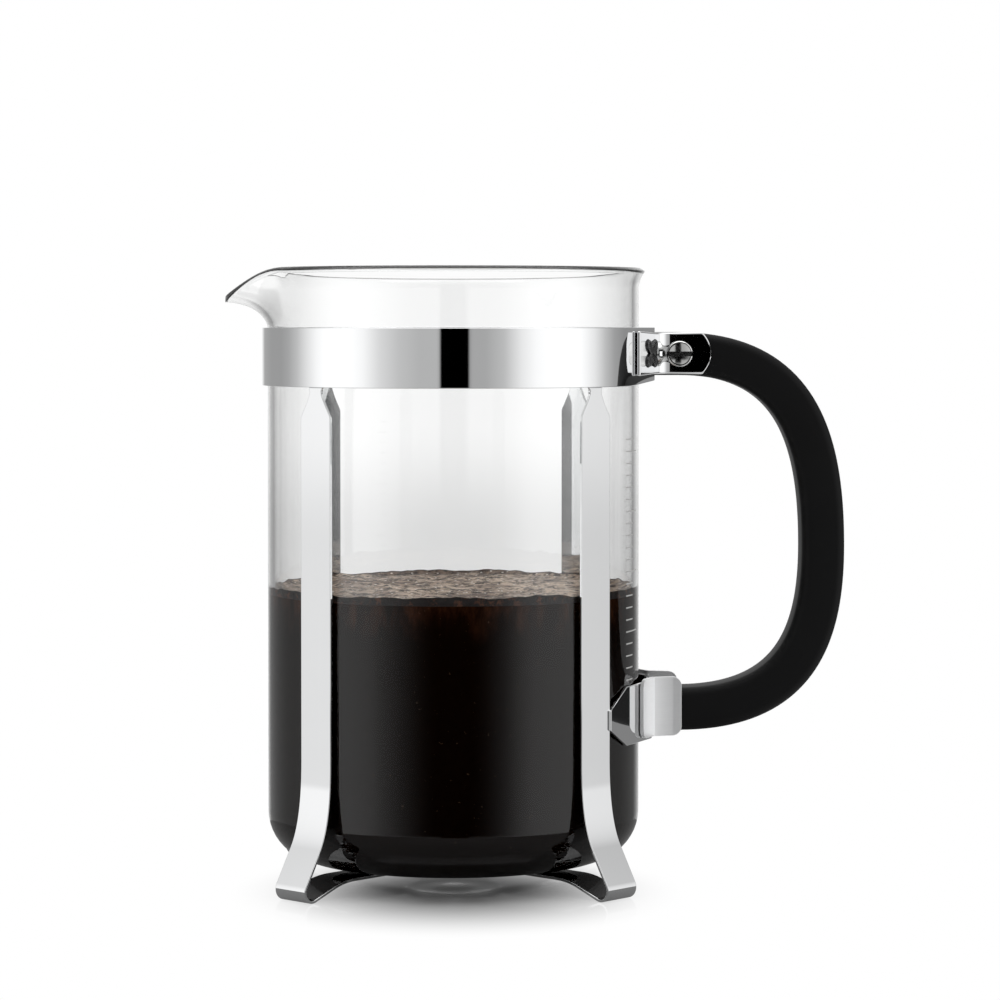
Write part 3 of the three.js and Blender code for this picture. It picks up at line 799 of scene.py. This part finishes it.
class PRESS_OT_add_band(bpy.types.Operator):
    """Add the band round the glass"""

    bl_idname = "press.add_band"
    bl_label = "Band"

    def execute(self, context):
        middle = (BAND_LOW.z + BAND_HIGH.z) / 2
        height = BAND_HIGH.z - BAND_LOW.z
        steps = 170
        sweep = 2 * math.pi - 2 * BEND_ANGLE
        angles = [-BEND_ANGLE - sweep * i / steps for i in range(steps + 1)]
        ring = [Vector((math.cos(a) * BAND_MIDDLE, math.sin(a) * BAND_MIDDLE, middle)) for a in angles]
        front = [on_band_end(BAND_END * share, 0, middle) for share in (1, 0.9, 0.6, 0.3)]
        back = [point * Vector((1, -1, 1)) for point in reversed(front)]
        line = front + ring + back
        cut_off = [1.5 * MM, 1.3 * MM, 0.8 * MM, 0.3 * MM]
        widths = [height - cut for cut in cut_off] + [height] * (len(line) - 8)
        widths += [height - cut for cut in reversed(cut_off)]
        for i, cut in enumerate(cut_off):
            line[i].z += cut / 2
            line[-1 - i].z += cut / 2
        piece = strip("band_ring", line, UP, widths)
        sheet_metal(piece, SHEET, context.scene.press_frame.edge)
        finished(piece, chrome_finish(), "frame", "chrome", "frame_band")
        return {"FINISHED"}


class PRESS_OT_add_legs(bpy.types.Operator):
    """Add the strap legs, each bent into a foot and in again under the beaker"""

    bl_idname = "press.add_legs"
    bl_label = "Legs"

    def leg_line(self):
        """The strap's middle line as (distance from the axis, height), from the band inwards."""
        lean, slope = math.radians(29.5), math.radians(20.4)
        bend, bend_radius = (67 * MM, 3.5 * MM), 3 * MM
        upper, lower = 18 * MM, 9 * MM
        start = (bend[0] + bend_radius * math.cos(lean), bend[1] + bend_radius * math.sin(lean))
        knee = start[1] + (start[0] - BAND_MIDDLE) / math.tan(lean)
        after_knee = (BAND_MIDDLE + lower * math.sin(lean), knee - lower * math.cos(lean))
        line = curve_points((BAND_MIDDLE, knee + upper), (BAND_MIDDLE, knee), after_knee, 18)
        line += arc(bend, bend_radius, math.degrees(lean), -90 - math.degrees(slope), 20)
        level = PLATE_HIGH.z + SHEET_GAP + SHEET / 2
        last = line[-1]
        corner = last[0] - (level - last[1]) / math.tan(slope)
        before = (corner + 4 * MM, level - 4 * MM * math.tan(slope))
        line += curve_points(before, (corner, level), (corner - 5 * MM, level), 8)
        return line + [(9 * MM, level)]

    def execute(self, context):
        sizes = context.scene.press_frame
        top = BAND_LOW.z
        neck = sizes.neck_length
        shoulders = [(0.0, 1.16), (0.06, 1.04), (0.14, 1.0), (0.24, 1.03)]
        full = sizes.leg_width / sizes.neck_width
        for t in (0.25, 0.5, 0.75, 0.94, 1):
            shoulders.append((0.24 + 0.76 * t, 1.03 + (full - 1.03) * t**1.15))
        line = [Vector((BAND_MIDDLE, 0, top - share * neck)) for share, _ in shoulders]
        widths = [growth * sizes.neck_width for _, growth in shoulders]
        for reach, height in self.leg_line():
            line.append(Vector((reach, 0, height)))
            widths.append(sizes.leg_width)
        piece = strip("leg", line, Vector((0, 1, 0)), widths)
        sheet_metal(piece, SHEET, sizes.edge)
        for place, angle in LEG_ANGLES.items():
            leg = copy_of(piece, f"strap_{place}")
            finished(leg, chrome_finish(), "frame", "chrome", f"leg_{place}", turn=math.radians(angle))
        bpy.data.objects.remove(piece)
        return {"FINISHED"}


def curve_points(start, corner, end, steps):
    """Points on a curve that leaves start towards the corner and comes from it to the end."""
    points = []
    for i in range(steps + 1):
        t = i / steps
        weights = ((1 - t) ** 2, 2 * t * (1 - t), t * t)
        ends = (start, corner, end)
        points.append(tuple(sum(w * p[k] for w, p in zip(weights, ends)) for k in (0, 1)))
    return points


class PRESS_OT_add_base_plate(bpy.types.Operator):
    """Add the round sheet that joins the straps under the beaker"""

    bl_idname = "press.add_base_plate"
    bl_label = "Base plate"

    def execute(self, context):
        radius = (PLATE_HIGH.x - PLATE_LOW.x) / 2
        low, high, edge = PLATE_LOW.z, PLATE_HIGH.z, 0.3 * MM
        profile = [(0, low), (5 * MM, low), (6.5 * MM, low + edge), (radius - 2.2 * MM, low + edge)]
        profile += [(radius - 1.2 * MM, low), (radius - edge, low), (radius, low + edge)]
        profile += [(radius, high - edge), (radius - edge, high), (4 * MM, high), (0, high)]
        piece = turned("cross_plate", profile, 64)
        smooth(piece, 35)
        finished(piece, chrome_finish(), "frame", "chrome", "base_plate")
        return {"FINISHED"}


class PRESS_OT_add_lugs(bpy.types.Operator):
    """Add the two lugs that hold the handle's upper end"""

    bl_idname = "press.add_lugs"
    bl_label = "Upper lugs"

    def execute(self, context):
        sizes = context.scene.press_frame
        bend, outside = lug_bend(sizes)
        middle, height = (LUG_LOW.z + LUG_HIGH.z) / 2, LUG_HIGH.z - LUG_LOW.z
        tip = LUG_HIGH.x - AXIS.x
        corner = on_band_end(bend, outside, middle)
        spread = math.degrees(math.asin(height / 2 / LUG_END_RADIUS))
        arc_start = tip - LUG_END_RADIUS + LUG_END_RADIUS * math.cos(math.radians(spread))
        ear = -ear_middle(sizes)
        flange_end = on_band_end(bend - LUG_FLANGE, outside, middle)
        line = eased([flange_end, corner, Vector((arc_start, ear, middle))], 5.5 * MM, 12)
        widths = [height * 1.02] + [height * 0.94] * (len(line) - 2) + [height * 0.96]
        for along, up in arc((tip - LUG_END_RADIUS, 0), LUG_END_RADIUS, spread, 9, 9)[1:]:
            line.append(Vector((along, ear, middle)))
            widths.append(2 * up)
        piece = strip("lug_front", line, UP, widths)
        sheet_metal(piece, sizes.lug_sheet, sizes.lug_edge, clamp=False)
        back = mirrored(piece, "lug_back")
        finished(piece, chrome_finish(), "frame", "chrome", "upper_lug_front")
        finished(back, chrome_finish(), "frame", "chrome", "upper_lug_back")
        return {"FINISHED"}


class PRESS_OT_add_stakes(bpy.types.Operator):
    """Add the pressed four-pointed stakes that hold the lugs to the band"""

    bl_idname = "press.add_stakes"
    bl_label = "Stakes"

    def execute(self, context):
        sizes = context.scene.press_frame
        bend, _ = lug_bend(sizes)
        point, waist, waist_up = 4.0 * MM, 1.9 * MM, 2.7 * MM
        deselect()
        bpy.ops.mesh.primitive_circle_add(vertices=48, radius=1, fill_type="NGON")
        piece = named("stake_front")
        for vertex in piece.data.vertices:
            angle = math.atan2(vertex.co.y, vertex.co.x)
            pull = abs(math.sin(2 * angle)) ** 1.4
            side = waist if abs(math.cos(angle)) > abs(math.sin(angle)) else waist_up
            reach = side + (point * math.sqrt(2) - side) * pull
            vertex.co = (reach * math.cos(angle), reach * math.sin(angle), 0)
        edit(piece)
        bpy.ops.mesh.select_all(action="SELECT")
        bpy.ops.mesh.extrude_region_move(TRANSFORM_OT_translate={"value": (0, 0, 0.5 * MM)})
        bpy.ops.transform.resize(value=(0.92, 0.92, 1), center_override=(0, 0, 0))
        bpy.ops.mesh.inset(thickness=0.55 * MM, depth=0)
        bpy.ops.mesh.inset(thickness=0.5 * MM, depth=-0.45 * MM)
        turn_outwards(piece)
        smooth(piece, 30)
        along = Vector((math.sin(BEND_ANGLE), math.cos(BEND_ANGLE), 0))
        outwards = Vector((math.cos(BEND_ANGLE), -math.sin(BEND_ANGLE), 0))
        rise = SHEET / 2 + SHEET_GAP + sizes.lug_sheet + 0.05 * MM
        centre = on_band_end(bend - STAKE_FROM_BEND, rise, (LUG_LOW.z + LUG_HIGH.z) / 2)
        turn = Matrix((along, UP, outwards)).transposed().to_4x4()
        piece.data.transform(Matrix.Translation(centre) @ turn)
        back = mirrored(piece, "stake_back")
        finished(piece, stake_finish(), "frame", "chrome", "lug_stake_front")
        finished(back, stake_finish(), "frame", "chrome", "lug_stake_back")
        return {"FINISHED"}


class PRESS_OT_add_saddle(bpy.types.Operator):
    """Add the strap that runs from leg to leg past the handle's heel"""

    bl_idname = "press.add_saddle"
    bl_label = "Saddle"

    def execute(self, context):
        sizes = context.scene.press_frame
        middle, height = (SADDLE_LOW.z + SADDLE_HIGH.z) / 2, SADDLE_HIGH.z - SADDLE_LOW.z
        neck, neck_length = 6.2 * MM, 13.0 * MM
        start, corner = Vector((46.7 * MM, -38.5 * MM, middle)), Vector((*SADDLE_BEND, middle))
        along = (corner - start).normalized()
        front = [start, start + along * neck_length, start + along * (neck_length + 0.8 * MM), corner]
        back = [point * Vector((1, -1, 1)) for point in reversed(front)]
        line = front[:3] + eased([front[2], corner, back[0], back[1]], 1.2 * MM)[1:-1] + back[1:]
        widths = [neck, height] + [height] * (len(line) - 4) + [height, neck]
        piece = strip("saddle", line, UP, widths)
        sheet_metal(piece, SHEET, sizes.edge)
        finished(piece, chrome_finish(), "frame", "chrome", "handle_saddle")
        return {"FINISHED"}


class PRESS_OT_add_clips(bpy.types.Operator):
    """Add the two clips that hold the handle's heel"""

    bl_idname = "press.add_clips"
    bl_label = "Lower clips"

    def execute(self, context):
        sizes = context.scene.press_frame
        middle, height = (CLIP_LOW.z + CLIP_HIGH.z) / 2, CLIP_HIGH.z - CLIP_LOW.z
        start, corner = Vector((47.1 * MM, -37.6 * MM, middle)), Vector((*SADDLE_BEND, middle))
        along = (corner - start).normalized()
        outwards = Vector((along.y, -along.x, 0))
        face = corner + outwards * (SHEET / 2 + SHEET_GAP + sizes.lug_sheet / 2)
        ear = -ear_middle(sizes)
        pinch = 1.4 * MM
        bend = face + along * (ear - pinch - face.y) / along.y
        rounding = 3.0 * MM
        tip = CLIP_HIGH.x - AXIS.x
        corners = [bend - along * (CLIP_FLANGE - rounding), bend, Vector((tip - rounding, ear, middle))]
        line = eased(corners, 0.9 * MM)
        widths = [height] * len(line)
        for across, up in arc((0, 0), rounding, 90, 8, 8)[1:]:
            narrow = height - 2 * (rounding - up)
            line.append(Vector((tip - rounding + across, ear, middle)))
            widths.append(narrow)
            line.insert(0, bend - along * (CLIP_FLANGE - rounding + across))
            widths.insert(0, narrow)
        piece = strip("clip_front", line, UP, widths)
        sheet_metal(piece, sizes.lug_sheet, sizes.lug_edge)
        back = mirrored(piece, "clip_back")
        finished(piece, satin_finish(), "frame", "chrome", "lower_clip_front")
        finished(back, satin_finish(), "frame", "chrome", "lower_clip_back")
        return {"FINISHED"}


# ---- the handle ---------------------------------------------------------------------


class PRESS_OT_add_grip(bpy.types.Operator):
    """Add the D-shaped handle: a rounded bar swept along its curve"""

    bl_idname = "press.add_grip"
    bl_label = "Handle"

    def section(self, sizes):
        """The bar's section: a rectangle with rounded corners."""
        deselect()
        bpy.ops.mesh.primitive_plane_add(size=1)
        outline = named("grip_section")
        outline.scale = (GRIP_WIDTH, sizes.depth, 1)
        place_in_mesh(outline)
        edit(outline)
        bpy.ops.mesh.select_all(action="SELECT")
        bpy.ops.mesh.bevel(offset=sizes.corner, segments=6, affect="VERTICES")
        bpy.ops.mesh.select_all(action="SELECT")
        bpy.ops.mesh.delete(type="ONLY_FACE")
        bpy.ops.object.mode_set(mode="OBJECT")
        bpy.ops.object.convert(target="CURVE")
        return outline

    def execute(self, context):
        sizes = context.scene.press_handle
        section = self.section(sizes)
        top, heel = BOLT_AT.z, (GRIP_LOW.z + sizes.depth / 2)
        far = GRIP_HIGH.x - AXIS.x - sizes.depth / 2
        knots = [
            ((62.3 * MM, top), (0, 0), (0, 0)),
            ((70.1 * MM, top), (0, 0), (37.5 * MM, 0)),
            ((far, 103.5 * MM), (0, 34 * MM), (0, -29 * MM)),
            ((70.7 * MM, heel), (36.5 * MM, 0), (0, 0)),
            ((64.2 * MM, heel), (0, 0), (0, 0)),
        ]
        deselect()
        bpy.ops.curve.primitive_bezier_curve_add()
        piece = named("grip")
        spline = piece.data.splines[0]
        spline.bezier_points.add(len(knots) - len(spline.bezier_points))
        for knot, (at, before, after) in zip(spline.bezier_points, knots):
            place = Vector((at[0], 0, at[1]))
            knot.handle_left_type = knot.handle_right_type = "FREE"
            knot.co = place
            knot.handle_left = place + Vector((before[0], 0, before[1]))
            knot.handle_right = place + Vector((after[0], 0, after[1]))
        piece.data.dimensions = "3D"
        piece.data.twist_mode = "MINIMUM"
        piece.data.resolution_u = 40
        piece.data.bevel_mode = "OBJECT"
        piece.data.bevel_object = section
        piece.data.use_fill_caps = True
        activate(piece)
        bpy.ops.object.convert(target="MESH")
        bpy.data.objects.remove(section)
        edit(piece)
        bpy.ops.mesh.select_all(action="SELECT")
        bpy.ops.mesh.remove_doubles(threshold=0.01 * MM)
        turn_outwards(piece)
        soften(piece, 0.7 * MM, 60)
        smooth(piece, 40)
        finished(piece, plastic_finish(), "frame", "black_plastic", "handle_grip")
        return {"FINISHED"}


class PRESS_OT_add_bolt(bpy.types.Operator):
    """Add the slotted bolt that goes through the handle, and its nut behind"""

    bl_idname = "press.add_bolt"
    bl_label = "Bolt and nut"

    def execute(self, context):
        head, height = (BOLT_HIGH.x - BOLT_LOW.x) / 2, 2.4 * MM
        face = BOLT_LOW.y + height
        dome, crown = 13 * MM, 3.55 * MM
        edge = height - dome + math.sqrt(dome**2 - crown**2)
        spread = math.degrees(math.asin(crown / dome))
        profile = [(0, 0), (head - 0.2 * MM, 0), (head, 0.2 * MM)]
        profile += arc((head - 0.5 * MM, edge - 0.42 * MM), 0.5 * MM, 0, 66, 5)
        profile += arc((0, height - dome), dome, 90 - spread, 88, 8)
        profile.append((0, height))
        piece = turned("bolt_head", profile, 64)
        end, shank_radius, overlap = -16 * MM, 2.2 * MM, 0.2 * MM
        outline = [(0, end), (shank_radius, end), (shank_radius, overlap), (0, overlap)]
        shank = turned("shank", outline, 32)
        self.join(piece, shank)
        self.cut_slot(piece, height)
        smooth(piece, 35)
        to_front = Matrix.Rotation(math.radians(90), 4, "X")
        centre = Vector((BOLT_AT.x, face - AXIS.y, BOLT_AT.z))
        piece.data.transform(Matrix.Translation(centre) @ to_front)
        finished(piece, steel_finish(), "bolt", "bolt_steel", "handle_bolt")
        self.add_nut(to_front)
        return {"FINISHED"}

    def join(self, piece, other):
        """Makes two closed solids one."""
        apply_modifier(piece, "BOOLEAN", operation="UNION", object=other, solver="EXACT")
        bpy.data.objects.remove(other)

    def cut_slot(self, piece, height):
        """Cuts the screwdriver's slot across the head."""
        deselect()
        bpy.ops.mesh.primitive_cube_add(size=1, location=(0, 0, height))
        cutter = named("slot_cutter")
        cutter.scale = (20 * MM, 1.5 * MM, 2.6 * MM)
        place_in_mesh(cutter)
        apply_modifier(piece, "BOOLEAN", operation="DIFFERENCE", object=cutter, solver="EXACT")
        bpy.data.objects.remove(cutter)

    def add_nut(self, to_front):
        """The barrel nut's eight-sided head, chamfered."""
        head_height = 3.8 * MM
        deselect()
        bpy.ops.mesh.primitive_cylinder_add(vertices=8, radius=6 * MM, depth=head_height)
        piece = named("nut")
        piece.location.z = head_height / 2
        piece.rotation_euler.z = math.radians(22.5)
        place_in_mesh(piece)
        mesh = edit(piece)
        for face in mesh.faces:
            face.select = face.normal.z > 0.9
        bpy.ops.mesh.inset(thickness=0.9 * MM, depth=0.35 * MM)
        bpy.ops.mesh.inset(thickness=1.4 * MM, depth=0)
        bpy.ops.mesh.inset(thickness=0.3 * MM, depth=-0.5 * MM)
        deselect()
        soften(piece, 0.25 * MM, 25)
        smooth(piece, 35)
        centre = Vector((BOLT_AT.x, NUT_HIGH.y - AXIS.y - head_height, BOLT_AT.z))
        piece.data.transform(Matrix.Translation(centre) @ to_front.inverted())
        finished(piece, steel_finish(), "nut", "bolt_steel", "handle_nut")


# ---- the stage ----------------------------------------------------------------------

TABLE_RADIUS = 125 * MM

# How bright the studio is level with the press, by the direction in degrees from the camera's
# side, negative to the left: a dark card behind the camera, white panels at both sides and a
# pale backdrop behind the press.
STUDIO = [
    (-180, 1.0),
    (-166, 0.92),
    (-157, 0.44),
    (-140, 0.385),
    (-125, 0.39),
    (-116, 0.46),
    (-107, 0.62),
    (-98, 0.90),
    (-89, 1.16),
    (-80, 1.32),
    (-64, 1.28),
    (-55, 1.16),
    (-44, 0.84),
    (-32, 0.64),
    (-20, 0.55),
    (-8.6, 0.55),
    (-7.6, 0.0),
    (9.0, 0.0),
    (10.0, 0.46),
    (19, 0.47),
    (30, 0.61),
    (41, 1.0),
    (50, 1.20),
    (64, 1.32),
    (80, 1.30),
    (93, 0.98),
    (103, 0.62),
    (112, 0.42),
    (124, 0.32),
    (150, 0.30),
    (164, 0.92),
    (180, 1.0),
]


class PRESS_OT_add_stage(bpy.types.Operator):
    """Add the table, the camera and the studio light"""

    bl_idname = "press.add_stage"
    bl_label = "Stage"

    def execute(self, context):
        stage = context.scene.press_stage
        self.add_camera(stage)
        self.add_floor()
        self.add_lamp()
        self.light_world(stage)
        context.scene.view_settings.view_transform = "Standard"
        return {"FINISHED"}

    def add_camera(self, stage):
        """In front of the press, just above its rim, looking slightly down."""
        deselect()
        turn = (math.radians(90) - stage.tilt, 0, stage.orbit - stage.pan)
        away = Vector((math.sin(stage.orbit), -math.cos(stage.orbit), 0)) * stage.distance
        place = AXIS + away + UP * stage.eye_height
        bpy.ops.object.camera_add(location=place, rotation=turn)
        camera = bpy.context.object
        camera.data.lens = stage.lens
        camera.data.shift_y = stage.shift
        bpy.context.scene.camera = camera

    def add_floor(self):
        """A round white table, just wide enough for the shadow to fade out on it."""
        deselect()
        place = (AXIS.x, AXIS.y, -0.02 * MM)
        bpy.ops.mesh.primitive_circle_add(
            vertices=96, radius=TABLE_RADIUS, fill_type="NGON", location=place
        )
        floor = named("table")
        place_in_mesh(floor)
        floor.data.materials.append(floor_finish())

    def add_lamp(self):
        """A large soft box over the press."""
        deselect()
        bpy.ops.object.light_add(type="AREA", location=(AXIS.x, 0.1, 1.3))
        lamp = bpy.context.object
        lamp.name = "overhead_softbox"
        lamp.data.shape = "SQUARE"
        lamp.data.size = 1.5
        lamp.data.energy = 8

    def light_world(self, stage):
        """The studio's panels and cards, seen in the chrome and the glass."""
        world = bpy.data.worlds.new("studio")
        bpy.context.scene.world = world
        tree = Tree(world)
        direction = tree.add("ShaderNodeTexCoord", output="Generated")
        x, y, z = (tree.add("ShaderNodeSeparateXYZ", None, {0: direction}, output=i) for i in range(3))
        turn = x.math("ARCTAN2", y * -1) - stage.orbit
        stops = [((degrees + 180) / 360, value) for degrees, value in STUDIO]
        level = tree.add("ShaderNodeValToRGB", {"stops": stops}, {0: turn / (2 * math.pi) + 0.5})
        to_front = turn.math("ABSOLUTE")
        front = 1 - to_front.above(math.radians(10), math.radians(54))
        below = (1 - z.above(-0.065, -0.03)) * z.above(-0.34, -0.22)
        around = tree.mix(front * below, tree.mix(below * 0.18, level, (0, 0, 0)), (0, 0, 0))
        overhead = z.above(0.5, 0.75)
        underfoot = 1 - z.above(-0.7, -0.35)
        around = tree.mix(overhead + underfoot, around, (0.8, 0.8, 0.8))
        camera_ray = tree.add("ShaderNodeLightPath", output="Is Camera Ray")
        seen = tree.mix(camera_ray, around, (1, 1, 1))
        glow = tree.add("ShaderNodeBackground", None, {"Color": seen, "Strength": 1.0})
        tree.add("ShaderNodeOutputWorld", None, {"Surface": glow})


class PRESS_PT_panel(bpy.types.Panel):
    """Buttons for each group of pieces, and their settings"""

    bl_label = "French press"
    bl_space_type = "VIEW_3D"
    bl_region_type = "UI"
    bl_category = "French press"

    def draw(self, context):
        for operator in OPERATORS:
            self.layout.operator(operator.bl_idname)
        for name in SETTINGS:
            box = self.layout.box()
            settings = getattr(context.scene, name)
            for key in settings.__annotations__:
                box.prop(settings, key)


OPERATORS = (
    PRESS_OT_add_stage,
    PRESS_OT_add_beaker,
    PRESS_OT_add_brew,
    PRESS_OT_add_scale,
    PRESS_OT_add_band,
    PRESS_OT_add_legs,
    PRESS_OT_add_base_plate,
    PRESS_OT_add_lugs,
    PRESS_OT_add_stakes,
    PRESS_OT_add_saddle,
    PRESS_OT_add_clips,
    PRESS_OT_add_grip,
    PRESS_OT_add_bolt,
)
SETTINGS = {
    "press_beaker": PressBeakerSettings,
    "press_brew": PressBrewSettings,
    "press_frame": PressFrameSettings,
    "press_handle": PressHandleSettings,
    "press_stage": PressStageSettings,
}


def register():
    for settings in SETTINGS.values():
        bpy.utils.register_class(settings)
    for name, settings in SETTINGS.items():
        setattr(bpy.types.Scene, name, PointerProperty(type=settings))
    for kind in (*OPERATORS, PRESS_PT_panel):
        bpy.utils.register_class(kind)


def unregister():
    for kind in (PRESS_PT_panel, *reversed(OPERATORS)):
        bpy.utils.unregister_class(kind)
    for name, settings in SETTINGS.items():
        delattr(bpy.types.Scene, name)
        bpy.utils.unregister_class(settings)


def main():
    register()
    for operator in OPERATORS:
        group, name = operator.bl_idname.split(".")
        getattr(getattr(bpy.ops, group), name)()


if __name__ == "__main__":
    main()
